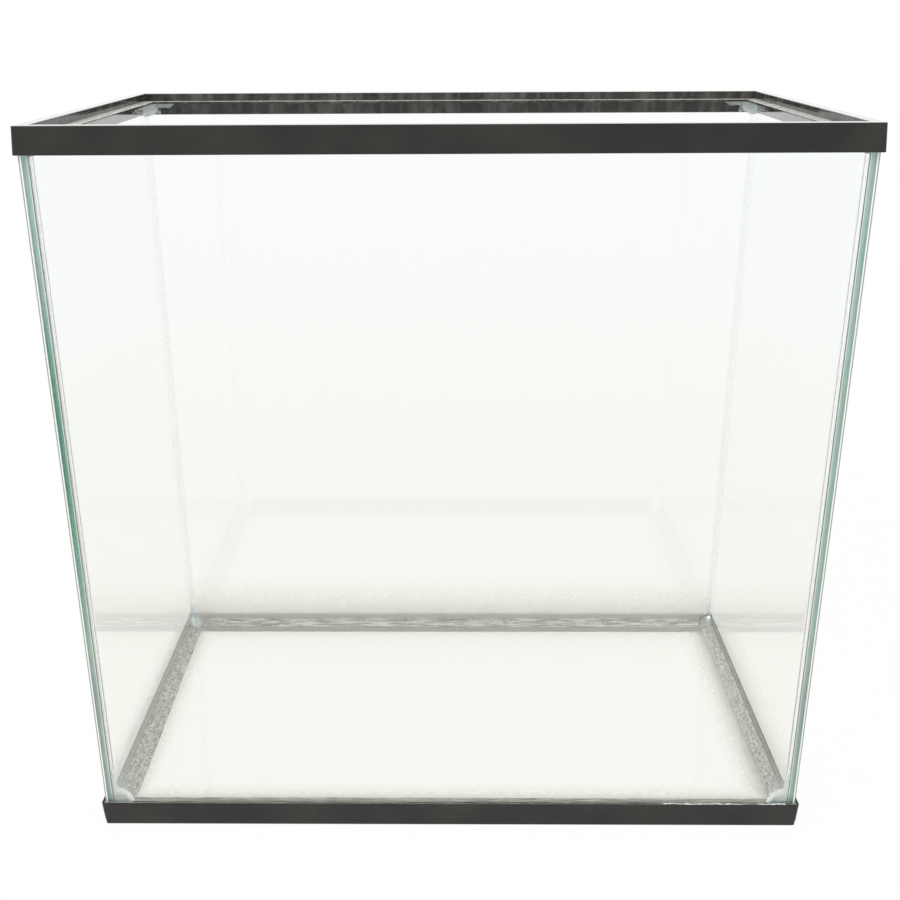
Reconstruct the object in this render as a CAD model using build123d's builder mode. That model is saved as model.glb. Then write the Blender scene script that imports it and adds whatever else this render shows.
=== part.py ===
from build123d import *
import os
from math import hypot

# Framed glass aquarium, open at the top.
# Five float glass panes are bonded with clear silicone. The walls stand in the channel of a
# moulded bottom frame and are capped by a moulded top frame with a recessed ledge for a lid.
# Millimetres, +Z up. The origin is the middle of the footprint, on the surface below the tank.
# The front faces -Y. Left and right are as seen from the front.

# Glass
tank_height = 605.0
glass_width = 611.0
glass_depth = 333.0
glass_thickness = 6.35
arris = 0.5

# Silicone between the panes, and the beads tooled into the inner corners
bond_thickness = 0.5
corner_seal_leg = 4.5
corner_seal_hollow = 0.8
floor_seal_width = 8.0
front_seal_width = 14.0
floor_seal_height = 7.0
floor_seal_hollow = 1.4
foot_cover = 1.7

# Silicone lumps under the lid ledge, one in each corner
fill_reach = 15.0
fill_drop = 13.2

# Silicone between the glass and the frames
bedding_thickness = 0.5
bedding_setback = 0.8

# Section that both frame mouldings share
frame_wall = 1.6
frame_web = 2.0
root_clearance = 0.2
lip_clearance = 1.4
inner_clearance = 0.15
inner_wall = 1.4
frame_corner_radius = 2.0
rim_round = 0.6

# Top frame
top_wall_height = 20.3
lid_recess = 7.0
ledge_width = 11.3
ledge_thickness = 1.8
skirt_drop = 10.5
skirt_end_clearance = 1.0
window_length = 15.0
window_height = 4.5
window_slant = 5.5

# Bottom frame
bottom_wall_height = 23.1
shelf_height = 7.0
shelf_thickness = 2.0
shelf_width = 5.0
ridge_height = 5.5
ridge_step = 0.25
foot_round = 1.2

# Heights
pane_base = frame_web + bedding_thickness
pane_top = tank_height - frame_web - bedding_thickness
pane_height = pane_top - pane_base
floor_base = shelf_height + bedding_thickness
floor_top = floor_base + glass_thickness
top_lip = tank_height - top_wall_height
channel_top = tank_height - frame_web
ledge_top = tank_height - lid_recess
ledge_under = ledge_top - ledge_thickness
skirt_base = ledge_under - skirt_drop
window_base = ledge_under - window_height

# Inner faces of the walls
inner_x = glass_width / 2 - glass_thickness
inner_y = glass_depth / 2 - glass_thickness

# Reach of each frame face, outside (+) or inside (-) the outer faces of the glass
root_inside = root_clearance
root_outside = root_inside + frame_wall
lip_inside = lip_clearance
lip_outside = lip_inside + frame_wall
ridge_outside = root_outside + (lip_outside - root_outside) * ridge_height / bottom_wall_height
inner_wall_outside = -(glass_thickness + inner_clearance)
inner_wall_inside = inner_wall_outside - inner_wall
ledge_edge = inner_wall_inside - ledge_width
shelf_edge = inner_wall_inside - shelf_width
floor_edge = -(glass_thickness + bond_thickness)

# Corner details
front_foot_radius = hypot(floor_seal_width, front_seal_width) + foot_cover
back_foot_radius = hypot(floor_seal_width, floor_seal_width) + foot_cover
skirt_gap = fill_reach + skirt_end_clearance
corners = {
    "front_left": [],
    "front_right": [Plane.YZ],
    "back_left": [Plane.XZ],
    "back_right": [Plane.YZ, Plane.XZ],
}

os.makedirs("parts", exist_ok=True)


def outline(height, reach):
    """A rectangle at one height, with its sides a given reach outside the glass."""
    with BuildSketch(Plane.XY.offset(height)) as flat:
        Rectangle(glass_width + 2 * reach, glass_depth + 2 * reach)
    return flat.sketch.face()


def block(bottom, top, reach, mode=Mode.ADD):
    """An upright block between two heights."""
    extrude(outline(bottom, reach), amount=top - bottom, mode=mode)


def drafted_block(bottom, bottom_reach, top, top_reach, mode=Mode.ADD):
    """A block whose sides lean from one reach to another, as the draft of a mould makes them."""
    loft([outline(bottom, bottom_reach), outline(top, top_reach)], mode=mode)


def ring(bottom, top, outer_reach, inner_reach):
    """A rectangular ring between two heights and two reaches."""
    with BuildSketch(Plane.XY.offset(bottom)) as flat:
        Rectangle(glass_width + 2 * outer_reach, glass_depth + 2 * outer_reach)
        Rectangle(glass_width + 2 * inner_reach, glass_depth + 2 * inner_reach, mode=Mode.SUBTRACT)
    extrude(flat.sketch, amount=top - bottom)


def bead_profile(width, height, hollow, plane):
    """The section of a tooled bead, its right angle at the plane's origin and its face hollow."""
    chord = hypot(width, height)
    middle = (width / 2 - hollow * height / chord, height / 2 - hollow * width / chord)
    with BuildSketch(plane) as section:
        with BuildLine():
            Polyline((0, height), (0, 0), (width, 0))
            ThreePointArc((width, 0), middle, (0, height))
        make_face()
    return section.sketch


def long_seal(width, foot_radius):
    """The bead along the front edge of the floor, between the feet of the corner beads."""
    start = Plane((-inner_x, -inner_y, floor_top), x_dir=(0, 1, 0), z_dir=(1, 0, 0))
    with BuildPart() as seal:
        extrude(bead_profile(width, floor_seal_height, floor_seal_hollow, start), amount=2 * inner_x)
        with Locations((-inner_x, -inner_y, floor_top), (inner_x, -inner_y, floor_top)):
            Sphere(foot_radius, mode=Mode.SUBTRACT)
    return seal.part


def side_seal():
    """The bead along the left edge of the floor, between the feet of the corner beads."""
    start = Plane((-inner_x, inner_y, floor_top), x_dir=(1, 0, 0), z_dir=(0, -1, 0))
    with BuildPart() as seal:
        extrude(bead_profile(floor_seal_width, floor_seal_height, floor_seal_hollow, start),
                amount=2 * inner_y)
        with Locations((-inner_x, -inner_y, floor_top)):
            Sphere(front_foot_radius, mode=Mode.SUBTRACT)
        with Locations((-inner_x, inner_y, floor_top)):
            Sphere(back_foot_radius, mode=Mode.SUBTRACT)
    return seal.part


def corner_seal(lump, foot_radius):
    """The bead up the front left corner, running up to the lump, with a round foot on the floor."""
    corner = Plane((-inner_x, -inner_y, floor_top))
    with BuildPart() as seal:
        bead = bead_profile(corner_seal_leg, corner_seal_leg, corner_seal_hollow, corner)
        extrude(bead, amount=ledge_under - floor_top)
        add(lump, mode=Mode.SUBTRACT)
        with Locations((-inner_x, -inner_y, floor_top)):
            Sphere(foot_radius, arc_size1=0, arc_size3=90, align=(Align.MIN, Align.MIN, Align.MIN))
    return seal.part


def window_outline(plane, half_length, start, side):
    """A window in the skirt of one wall, right under the ledge, with its far end at a slant."""
    near = side * (half_length - start)
    far = side * (half_length - skirt_gap - window_length)
    with BuildSketch(plane) as opening:
        with BuildLine():
            Polyline(
                (near, ledge_under),
                (far, ledge_under),
                (far + side * window_slant, window_base),
                (near, window_base),
                close=True,
            )
        make_face()
    return opening.sketch


# Glass panes. The front and back run the full width and the sides stand between them.
for end, side in (("front", -1), ("back", 1)):
    with BuildPart() as long_pane:
        with Locations((0, side * (inner_y + glass_thickness / 2), pane_base)):
            Box(glass_width, glass_thickness, pane_height, align=(Align.CENTER, Align.CENTER, Align.MIN))
        chamfer(long_pane.edges(), length=arris)
    long_pane.part.label = f"{end}_pane"
    export_step(long_pane.part, f"parts/{end}_pane.step")

for end, side in (("left", -1), ("right", 1)):
    with BuildPart() as side_pane:
        with Locations((side * (inner_x + glass_thickness / 2), 0, pane_base)):
            Box(glass_thickness, 2 * (inner_y - bond_thickness), pane_height,
                align=(Align.CENTER, Align.CENTER, Align.MIN))
        chamfer(side_pane.edges(), length=arris)
    side_pane.part.label = f"{end}_pane"
    export_step(side_pane.part, f"parts/{end}_pane.step")

with BuildPart() as bottom_pane:
    block(floor_base, floor_top, floor_edge)
    chamfer(bottom_pane.edges(), length=arris)
bottom_pane.part.label = "bottom_pane"
export_step(bottom_pane.part, "parts/bottom_pane.step")

# Top frame. Its channel caps the glass, the lid lies on the recessed ledge, and the inner skirt
# below the ledge stops short of the corners and has a slanted window beside each one.
with BuildPart() as top_frame:
    drafted_block(top_lip, lip_outside, tank_height, root_outside)
    fillet(top_frame.edges().group_by(Axis.Z)[1], radius=frame_corner_radius)
    fillet(top_frame.edges().group_by(Axis.Z)[-1], radius=rim_round)
    drafted_block(top_lip, lip_inside, channel_top, root_inside, mode=Mode.SUBTRACT)
    block(top_lip, tank_height, inner_wall_inside, mode=Mode.SUBTRACT)
    fillet(top_frame.faces().sort_by(Axis.Z)[-1].inner_wires().edges(), radius=rim_round)
    ring(skirt_base, channel_top, inner_wall_outside, inner_wall_inside)
    with Locations((0, 0, skirt_base)):
        with GridLocations(2 * inner_x - skirt_gap, 2 * inner_y - skirt_gap, 2, 2):
            Box(skirt_gap, skirt_gap, ledge_under - skirt_base,
                align=(Align.CENTER, Align.CENTER, Align.MIN), mode=Mode.SUBTRACT)
    for plane, half_length, half_width in ((Plane.XZ, inner_x, inner_y), (Plane.YZ, inner_y, inner_x)):
        for side in (-1, 1):
            window = window_outline(plane, half_length, skirt_gap, side)
            extrude(window, amount=half_width, both=True, mode=Mode.SUBTRACT)
    ring(ledge_under, ledge_top, inner_wall_outside, ledge_edge)
top_frame.part.label = "top_frame"
export_step(top_frame.part, "parts/top_frame.step")

# Bottom frame. The walls stand in its channel and the floor lies on its inner shelf. A low step
# runs round the outside at the parting line of the mould.
with BuildPart() as bottom_frame:
    drafted_block(0, root_outside - ridge_step, ridge_height, ridge_outside - ridge_step)
    fillet(bottom_frame.edges().group_by(Axis.Z)[1], radius=frame_corner_radius)
    fillet(bottom_frame.edges().group_by(Axis.Z)[0], radius=foot_round)
    drafted_block(ridge_height, ridge_outside, bottom_wall_height, lip_outside)
    upper_corners = bottom_frame.edges().filter_by_position(Axis.Z, ridge_height, bottom_wall_height)
    fillet(upper_corners.group_by(Axis.Z)[1], radius=frame_corner_radius)
    drafted_block(frame_web, root_inside, bottom_wall_height, lip_inside, mode=Mode.SUBTRACT)
    block(0, bottom_wall_height, inner_wall_inside, mode=Mode.SUBTRACT)
    ring(frame_web, shelf_height, inner_wall_outside, inner_wall_inside)
    ring(shelf_height - shelf_thickness, shelf_height, inner_wall_outside, shelf_edge)
bottom_frame.part.label = "bottom_frame"
export_step(bottom_frame.part, "parts/bottom_frame.step")

# Silicone that bonds the frames to the glass, stopping short of each lip
with BuildPart() as top_bedding:
    drafted_block(top_lip, lip_inside, channel_top, root_inside)
    block(top_lip, pane_top, 0, mode=Mode.SUBTRACT)
    block(top_lip, channel_top, inner_wall_outside, mode=Mode.SUBTRACT)
    block(top_lip, top_lip + bedding_setback, lip_outside, mode=Mode.SUBTRACT)
    ring(ledge_under, pane_top, -glass_thickness, inner_wall_outside)
top_bedding.part.label = "top_bedding"
export_step(top_bedding.part, "parts/top_bedding.step")

with BuildPart() as bottom_bedding:
    drafted_block(frame_web, root_inside, bottom_wall_height, lip_inside)
    block(pane_base, bottom_wall_height, 0, mode=Mode.SUBTRACT)
    block(frame_web, pane_base, inner_wall_outside, mode=Mode.SUBTRACT)
    block(bottom_wall_height - bedding_setback, bottom_wall_height, lip_outside, mode=Mode.SUBTRACT)
    ring(pane_base, shelf_height, -glass_thickness, inner_wall_outside)
bottom_bedding.part.label = "bottom_bedding"
export_step(bottom_bedding.part, "parts/bottom_bedding.step")

with BuildPart() as floor_bedding:
    ring(shelf_height, floor_base, floor_edge, shelf_edge + bedding_setback)
floor_bedding.part.label = "floor_bedding"
export_step(floor_bedding.part, "parts/floor_bedding.step")

# Silicone that bonds the ends of the side panes to the front and back panes
with BuildPart() as corner_joint:
    with Locations((-inner_x, -inner_y, pane_base)):
        Box(glass_thickness - arris, bond_thickness, pane_height, align=(Align.MAX, Align.MIN, Align.MIN))

# Silicone that bonds the edges of the floor to the walls
for end, side in (("front", -1), ("back", 1)):
    with BuildPart() as long_joint:
        with Locations((0, side * (inner_y - bond_thickness / 2), floor_base)):
            Box(2 * inner_x, bond_thickness, glass_thickness, align=(Align.CENTER, Align.CENTER, Align.MIN))
    long_joint.part.label = f"floor_joint_{end}"
    export_step(long_joint.part, f"parts/floor_joint_{end}.step")

for end, side in (("left", -1), ("right", 1)):
    with BuildPart() as side_joint:
        with Locations((side * (inner_x - bond_thickness / 2), 0, floor_base)):
            Box(bond_thickness, 2 * (inner_y - bond_thickness), glass_thickness,
                align=(Align.CENTER, Align.CENTER, Align.MIN))
    side_joint.part.label = f"floor_joint_{end}"
    export_step(side_joint.part, f"parts/floor_joint_{end}.step")

# Silicone lump in a top corner, with a tongue along each wall that fills the window in the skirt
with BuildPart() as corner_lump:
    with BuildSketch(Plane.XZ) as lump_section:
        with BuildLine():
            Polyline((0, -fill_drop), (0, 0), (fill_reach, 0))
            EllipticalCenterArc((0, 0), fill_reach, fill_drop, start_angle=270, arc_size=90)
        make_face()
    revolve(axis=Axis.Z, revolution_arc=90)

with BuildPart() as corner_fill:
    with Locations((-inner_x, -inner_y, ledge_under)):
        add(corner_lump.part)
    front_tongue = window_outline(Plane.XZ.offset(inner_y), inner_x, 0, -1)
    extrude(front_tongue, amount=inner_wall_inside + glass_thickness)
    side_tongue = window_outline(Plane.YZ.offset(-inner_x), inner_y, 0, -1)
    extrude(side_tongue, amount=-(inner_wall_inside + glass_thickness))

# The three pieces of silicone in each of the four corners
for corner, planes in corners.items():
    foot_radius = front_foot_radius if corner.startswith("front") else back_foot_radius
    for kind, front_left in (
        ("joint", corner_joint.part),
        ("corner_fill", corner_fill.part),
        ("seal", corner_seal(corner_fill.part, foot_radius)),
    ):
        with BuildPart() as piece:
            add(front_left)
            for plane in planes:
                mirror(about=plane, mode=Mode.REPLACE)
        piece.part.label = f"{kind}_{corner}"
        export_step(piece.part, f"parts/{kind}_{corner}.step")

# Beads tooled along the four edges of the floor
for end, seal, planes in (
    ("front", long_seal(front_seal_width, front_foot_radius), []),
    ("back", long_seal(floor_seal_width, back_foot_radius), [Plane.XZ]),
    ("left", side_seal(), []),
    ("right", side_seal(), [Plane.YZ]),
):
    with BuildPart() as floor_seal:
        add(seal)
        for plane in planes:
            mirror(about=plane, mode=Mode.REPLACE)
    floor_seal.part.label = f"floor_seal_{end}"
    export_step(floor_seal.part, f"parts/floor_seal_{end}.step")
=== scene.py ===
import logging
import math
from dataclasses import dataclass, field
from enum import Enum

import bmesh
import bpy
from mathutils import Euler, Matrix, Vector, noise


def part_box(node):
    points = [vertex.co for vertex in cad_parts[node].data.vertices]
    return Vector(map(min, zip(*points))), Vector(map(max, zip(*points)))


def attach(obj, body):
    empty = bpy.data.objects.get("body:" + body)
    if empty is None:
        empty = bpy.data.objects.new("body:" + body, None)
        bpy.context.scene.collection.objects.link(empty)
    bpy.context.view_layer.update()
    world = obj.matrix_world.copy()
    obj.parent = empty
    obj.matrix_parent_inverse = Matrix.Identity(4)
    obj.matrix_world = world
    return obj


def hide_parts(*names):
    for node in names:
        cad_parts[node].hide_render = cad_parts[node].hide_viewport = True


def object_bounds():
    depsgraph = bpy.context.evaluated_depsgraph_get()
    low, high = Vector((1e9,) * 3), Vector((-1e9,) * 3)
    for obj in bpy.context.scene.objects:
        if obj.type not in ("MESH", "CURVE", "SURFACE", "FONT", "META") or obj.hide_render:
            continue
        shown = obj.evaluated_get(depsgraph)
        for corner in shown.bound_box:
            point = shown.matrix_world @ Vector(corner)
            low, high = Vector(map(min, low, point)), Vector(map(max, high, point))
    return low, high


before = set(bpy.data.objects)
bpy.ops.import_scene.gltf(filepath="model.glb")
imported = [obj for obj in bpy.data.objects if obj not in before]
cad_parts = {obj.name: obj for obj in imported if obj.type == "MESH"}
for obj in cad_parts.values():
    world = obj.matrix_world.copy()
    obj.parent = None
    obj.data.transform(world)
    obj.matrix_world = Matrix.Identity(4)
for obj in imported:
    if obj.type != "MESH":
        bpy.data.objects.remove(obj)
CAD_LOW, CAD_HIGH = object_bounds()

log = logging.getLogger("aquarium")

Tree = bpy.types.NodeTree
Node = bpy.types.Node
Socket = bpy.types.NodeSocket
Material = bpy.types.Material

ABSOLUTE = {"operation": "ABSOLUTE"}
ADD = {"operation": "ADD"}
COMPARE = {"operation": "COMPARE"}
GREATER_THAN = {"operation": "GREATER_THAN"}
LESS_THAN = {"operation": "LESS_THAN"}
MAXIMUM = {"operation": "MAXIMUM"}
MULTIPLY = {"operation": "MULTIPLY"}
SUBTRACT = {"operation": "SUBTRACT"}
SMOOTH = {"interpolation_type": "SMOOTHSTEP"}

MM = 0.001
WHITE = "#FFFFFF"
SILICONE_IOR = 1.41
FACING = 0.5
WELD_MM = 0.002
CUT_MM = 0.001
ON_WALL_MM = 0.02
FLAT_DEGREES = 0.5
CRISP_DEGREES = 40.0
MOST_BOUNCES = 64
GLASS_BOUNCES = 48
CLEAR_BOUNCES = 16
STRAY_SEED = 1

# Without a seed of its own, the noise that the silicone strays by would differ from run to run.
noise.seed_set(STRAY_SEED)

# The inner faces of the right and back walls and the floor's upper face, in metres.
INNER = Vector((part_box("right_pane")[0].x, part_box("back_pane")[0].y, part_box("bottom_pane")[1].z))


class Corner(Enum):
    """The upright corners, as seen from the front."""

    FRONT_LEFT = "front_left"
    FRONT_RIGHT = "front_right"
    BACK_LEFT = "back_left"
    BACK_RIGHT = "back_right"


class Wall(Enum):
    """The four walls, as seen from the front."""

    FRONT = "front"
    BACK = "back"
    LEFT = "left"
    RIGHT = "right"


def linear(hex_color: str) -> tuple[float, float, float, float]:
    """Turns a colour written as sRGB hex into linear RGBA.

    Args:
        hex_color: The colour, such as "#1A1B1C".

    Returns:
        Linear red, green, blue and an alpha of 1.
    """
    channels = [int(hex_color[i:i + 2], 16) / 255 for i in (1, 3, 5)]
    red, green, blue = (c / 12.92 if c <= 0.04045 else ((c + 0.055) / 1.055) ** 2.4 for c in channels)
    return (red, green, blue, 1.0)


def add_node(tree: Tree, kind: str, settings: dict | None = None, inputs: dict | None = None) -> Node:
    """Adds a shader node, sets it up and links what feeds it.

    Args:
        tree: The material's or world's node tree.
        kind: The node's type, without its "ShaderNode" prefix.
        settings: Attributes of the node and their values.
        inputs: For each socket's name or number a plain value, the output socket that feeds it, or
            the node that feeds it with its first output.

    Returns:
        The new node.
    """
    node = tree.nodes.new("ShaderNode" + kind)
    for name, value in (settings or {}).items():
        setattr(node, name, value)
    for key, value in (inputs or {}).items():
        source = value.outputs[0] if isinstance(value, Node) else value
        if isinstance(source, Socket):
            tree.links.new(source, node.inputs[key])
        else:
            node.inputs[key].default_value = source
    return node


def new_material(name: str) -> tuple[Material, Tree]:
    """Makes an empty node material.

    Args:
        name: The material's name.

    Returns:
        The material and its node tree.
    """
    material = bpy.data.materials.new(name)
    material.use_nodes = True
    material.node_tree.nodes.clear()
    return material, material.node_tree


def per_metre(size_mm: float) -> float:
    """Turns the size of a feature in millimetres into the scale of a pattern in object space."""
    return 1.0 / (size_mm * MM)


def coordinates(tree: Tree) -> list[Socket]:
    """Adds the object coordinates as three sockets, X, Y and Z, in metres."""
    split = add_node(tree, "SeparateXYZ", inputs={0: add_node(tree, "TexCoord").outputs["Object"]})
    return split.outputs[:]


def faces_along(tree: Tree, axis: str) -> Node:
    """Adds a test that is 1 on faces that look along an axis, either way.

    Args:
        tree: The material's node tree.
        axis: "X", "Y" or "Z".

    Returns:
        A node that gives 0 or 1.
    """
    facing = add_node(tree, "SeparateXYZ", inputs={0: add_node(tree, "NewGeometry").outputs["Normal"]})
    along = add_node(tree, "Math", ABSOLUTE, {0: facing.outputs[axis]})
    return add_node(tree, "Math", GREATER_THAN, {0: along, 1: FACING})


def layered(tree: Tree, base: str | Socket, *coats: tuple[Node, str | Socket]) -> Socket:
    """Lays coats of colour over a base colour, each by its share.

    Args:
        tree: The material's node tree.
        base: The base colour, as sRGB hex or a socket.
        coats: From the lowest coat up, the node that gives its share, and its colour.

    Returns:
        The colour that shows.
    """
    for share, coat in coats:
        under, over = (linear(color) if isinstance(color, str) else color for color in (base, coat))
        base = add_node(tree, "Mix", {"data_type": "RGBA"}, {0: share, 6: under, 7: over}).outputs[2]
    return base


@dataclass(frozen=True)
class WashedEnds:
    """Where other light washes out the green of the pane ends: least halfway up on the left."""

    greenest_mm: float = 345.0
    green_within_mm: float = 30.0
    washed_beyond_mm: float = 190.0
    most: float = 0.9
    on_right: float = 0.85

    def share(self, tree: Tree) -> Node:
        """Adds how far the green is washed out.

        Args:
            tree: The material's node tree.

        Returns:
            A node that gives 0 for deep green and more the paler it is, up to most.
        """
        x, _, z = coordinates(tree)
        off = add_node(tree, "Math", SUBTRACT, {0: z, 1: self.greenest_mm * MM})
        away = add_node(tree, "Math", ABSOLUTE, {0: off})
        height = add_node(tree, "MapRange", SMOOTH, {
            "Value": away, "From Min": self.green_within_mm * MM,
            "From Max": self.washed_beyond_mm * MM, "To Max": self.most})
        right = add_node(tree, "Math", GREATER_THAN, {0: x, 1: 0.0})
        side = add_node(tree, "Math", MULTIPLY, {0: right, 1: self.on_right})
        return add_node(tree, "Math", MAXIMUM, {0: height, 1: side})


@dataclass(frozen=True)
class Smear:
    """A film over the glass that fades out past the toe of a bead; on the floor and walls it is partly
    dragged silicone and partly painted shade.
    """

    toe_mm: float
    reach_mm: float
    share: float
    softness: float = 1.6

    def fade(self, tree: Tree, gap: Node) -> Node:
        """Adds how much of the glass the film covers.

        Args:
            tree: The material's node tree.
            gap: The distance from the inner corner, in metres.

        Returns:
            A node that falls softly from the share at the toe to 0 where the film ends.
        """
        near = add_node(tree, "MapRange", inputs={
            "Value": gap, "From Min": self.toe_mm * MM, "From Max": (self.toe_mm + self.reach_mm) * MM,
            "To Min": 1.0, "To Max": 0.0})
        soft = add_node(tree, "Math", {"operation": "POWER"}, {0: near, 1: self.softness})
        return add_node(tree, "Math", MULTIPLY, {0: soft, 1: self.share})


@dataclass(frozen=True)
class FloatGlass:
    """Soda-lime float glass, clear through its face and green where the eye looks along a pane.

    The upright edges of the front pane are ground; along them its outer face carries a painted dark line
    with a painted highlight line beside it.
    Past the toes of the beads the glass carries a grey film, partly silicone that was never wiped off and
    partly painted shade, darker on the floor; beside the seals in the front corners it is painted shade
    only.
    Low down, the face is a little less blue.
    """

    name: str = "float_glass"
    ior: float = 1.52
    face: str = WHITE
    # Less blue towards the bottom of the glass.
    low_face: str = "#FEFDFA"
    low_face_below_mm: float = 230.0
    plain_face_above_mm: float = 520.0
    tint: str = "#C2DED3"
    tint_density: float = 8.5
    # Painted dark line and painted highlight line along the ends of the front pane's outer face.
    painted_edge_shade: str = "#6E7A76"
    arris_mm: float = 1.1
    painted_edge_shade_share: float = 0.7
    bright_line_mm: float = 1.1
    painted_highlight_share: float = 0.9
    # Film colours: partly silicone, partly painted shade; the floor's is darker, as painted shade.
    film: str = "#A3A299"
    floor_film_painted_shade: str = "#7F7E77"
    haze_color: str = "#F6FEFF"
    film_patch_mm: float = 7.0
    film_patches: tuple[float, float] = (0.3, 0.65)
    thinnest_patch: float = 0.75
    near_plane_mm: float = 0.3
    # Where the film lies: partly dragged silicone, partly painted shade beside the beads.
    floor_film: Smear = Smear(toe_mm=8.0, reach_mm=24.0, share=0.9)
    front_film: Smear = Smear(toe_mm=13.0, reach_mm=25.0, share=0.6)
    left_film: Smear = Smear(toe_mm=7.0, reach_mm=24.0, share=0.85)
    right_film: Smear = Smear(toe_mm=7.0, reach_mm=3.0, share=0.85)
    back_film: Smear = Smear(toe_mm=7.0, reach_mm=2.5, share=0.85)
    back_haze: Smear = Smear(toe_mm=7.0, reach_mm=60.0, share=0.85)
    right_floor_film: Smear = Smear(toe_mm=9.0, reach_mm=32.0, share=1.0)
    # Painted shade beside the seals in the front corners.
    corner_painted_shade: Smear = Smear(toe_mm=0.0, reach_mm=2.6, share=0.75)
    foot_haze: Smear = Smear(toe_mm=9.0, reach_mm=12.0, share=0.5)
    foot_rise: Smear = Smear(toe_mm=10.0, reach_mm=64.0, share=1.0)
    ends: WashedEnds = WashedEnds()

    def on_plane(self, tree: Tree, value: Socket, plane: float) -> Node:
        """Adds a test that is 1 where a coordinate lies in a plane, both in metres."""
        return add_node(tree, "Math", COMPARE, {0: value, 1: plane, 2: self.near_plane_mm * MM})

    def foot(self, tree: Tree) -> Node:
        """Adds the share of milky haze on the front pane, at the feet of the upright beads.

        Args:
            tree: The material's node tree.

        Returns:
            A node that gives 0 where the glass is clean and 1 where it is covered.
        """
        x, y, z = coordinates(tree)
        across = add_node(tree, "Math", ABSOLUTE, {0: x})
        gap = add_node(tree, "Math", SUBTRACT, {0: INNER.x, 1: across})
        height = add_node(tree, "Math", SUBTRACT, {0: z, 1: INNER.z})
        inside = add_node(tree, "Math", GREATER_THAN, {0: gap, 1: 0.0})
        face = add_node(tree, "Math", MULTIPLY, {0: inside, 1: self.on_plane(tree, y, -INNER.y)})
        haze = add_node(tree, "Math", MULTIPLY, {
            0: self.foot_haze.fade(tree, gap), 1: self.foot_rise.fade(tree, height)})
        return add_node(tree, "Math", MULTIPLY, {0: face, 1: haze})

    def films_and_painted_shade(self, tree: Tree) -> Node:
        """Adds the share of the glass under the grey film: partly silicone and partly painted shade beside
        the beads, and painted shade only beside the seals in the front corners.

        Args:
            tree: The material's node tree.

        Returns:
            A node that gives 0 where the glass is clean and 1 where it is covered.
        """
        x, y, z = coordinates(tree)
        across = add_node(tree, "Math", ABSOLUTE, {0: x})
        side_gap = add_node(tree, "Math", SUBTRACT, {0: INNER.x, 1: across})
        right_gap = add_node(tree, "Math", SUBTRACT, {0: INNER.x, 1: x})
        back_gap = add_node(tree, "Math", SUBTRACT, {0: INNER.y, 1: y})
        front_gap = add_node(tree, "Math", ADD, {0: y, 1: INNER.y})
        height = add_node(tree, "Math", SUBTRACT, {0: z, 1: INNER.z})
        floor = self.on_plane(tree, z, INNER.z)
        left = self.on_plane(tree, x, -INNER.x)
        right = self.on_plane(tree, x, INNER.x)
        back = self.on_plane(tree, y, INNER.y)
        inside_left = add_node(tree, "Math", COMPARE, {0: x, 1: -INNER.x / 2, 2: INNER.x / 2})
        front = add_node(tree, "Math", MULTIPLY, {0: inside_left, 1: self.on_plane(tree, y, -INNER.y)})
        covered = None
        for face, smear, gap in (
                (floor, self.floor_film, side_gap), (floor, self.floor_film, back_gap),
                (floor, self.front_film, front_gap), (floor, self.right_floor_film, right_gap),
                (left, self.left_film, height), (right, self.right_film, height),
                (back, self.back_film, height), (back, self.back_haze, height),
                (front, self.corner_painted_shade, side_gap)):
            share = add_node(tree, "Math", MULTIPLY, {0: face, 1: smear.fade(tree, gap)})
            if covered is not None:
                share = add_node(tree, "Math", MAXIMUM, {0: covered, 1: share})
            covered = share
        return covered

    def edge_line(self, tree: Tree, low_mm: float, high_mm: float) -> Node:
        """Adds a test for an upright line on the front pane's outer face, where shade and highlight are
        painted.

        Args:
            tree: The material's node tree.
            low_mm: Where the line starts, from the pane's end.
            high_mm: Where the line ends.

        Returns:
            A node that gives 0 or 1.
        """
        x, y, _ = coordinates(tree)
        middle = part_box("front_pane")[1].x - (low_mm + high_mm) / 2 * MM
        across = add_node(tree, "Math", ABSOLUTE, {0: x})
        line = add_node(tree, "Math", COMPARE, {0: across, 1: middle, 2: (high_mm - low_mm) / 2 * MM})
        outer = add_node(tree, "Math", LESS_THAN, {0: y, 1: -INNER.y - MM})
        face = add_node(tree, "Math", MULTIPLY, {0: faces_along(tree, "Y"), 1: outer})
        return add_node(tree, "Math", MULTIPLY, {0: line, 1: face})

    def ground_end(self, tree: Tree) -> Node:
        """Adds how rough the front pane's ends are: polished where they are green, frosted elsewhere.

        Args:
            tree: The material's node tree.

        Returns:
            A node that gives the roughness.
        """
        _, y, _ = coordinates(tree)
        front = add_node(tree, "Math", LESS_THAN, {0: y, 1: -INNER.y})
        face = add_node(tree, "Math", MULTIPLY, {0: faces_along(tree, "X"), 1: front})
        return add_node(tree, "Math", MULTIPLY, {0: face, 1: self.ends.share(tree)})

    def material(self) -> Material:
        """Builds the glass: a clear dielectric with its colour taken up inside the pane.

        Returns:
            The material.
        """
        material, tree = new_material(self.name)
        z = coordinates(tree)[2]
        patches = add_node(tree, "TexNoise", inputs={
            "Vector": add_node(tree, "TexCoord").outputs["Object"],
            "Scale": per_metre(self.film_patch_mm), "Detail": 4.0})
        patchy = add_node(tree, "MapRange", inputs={
            "Value": patches, "From Min": self.film_patches[0], "From Max": self.film_patches[1],
            "To Min": self.thinnest_patch})
        # The grey film: partly silicone, partly painted shade.
        film_and_painted_shade = add_node(tree, "Math", MULTIPLY, {0: self.films_and_painted_shade(tree), 1: patchy})
        # A painted dark line at each end of the front pane's outer face, and a painted highlight line
        # beside it.
        dull = add_node(tree, "Math", MULTIPLY, {
            0: self.edge_line(tree, 0.0, self.arris_mm), 1: self.painted_edge_shade_share})
        bright = add_node(tree, "Math", MULTIPLY, {
            0: self.edge_line(tree, self.arris_mm, self.arris_mm + self.bright_line_mm),
            1: self.painted_highlight_share})
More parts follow.
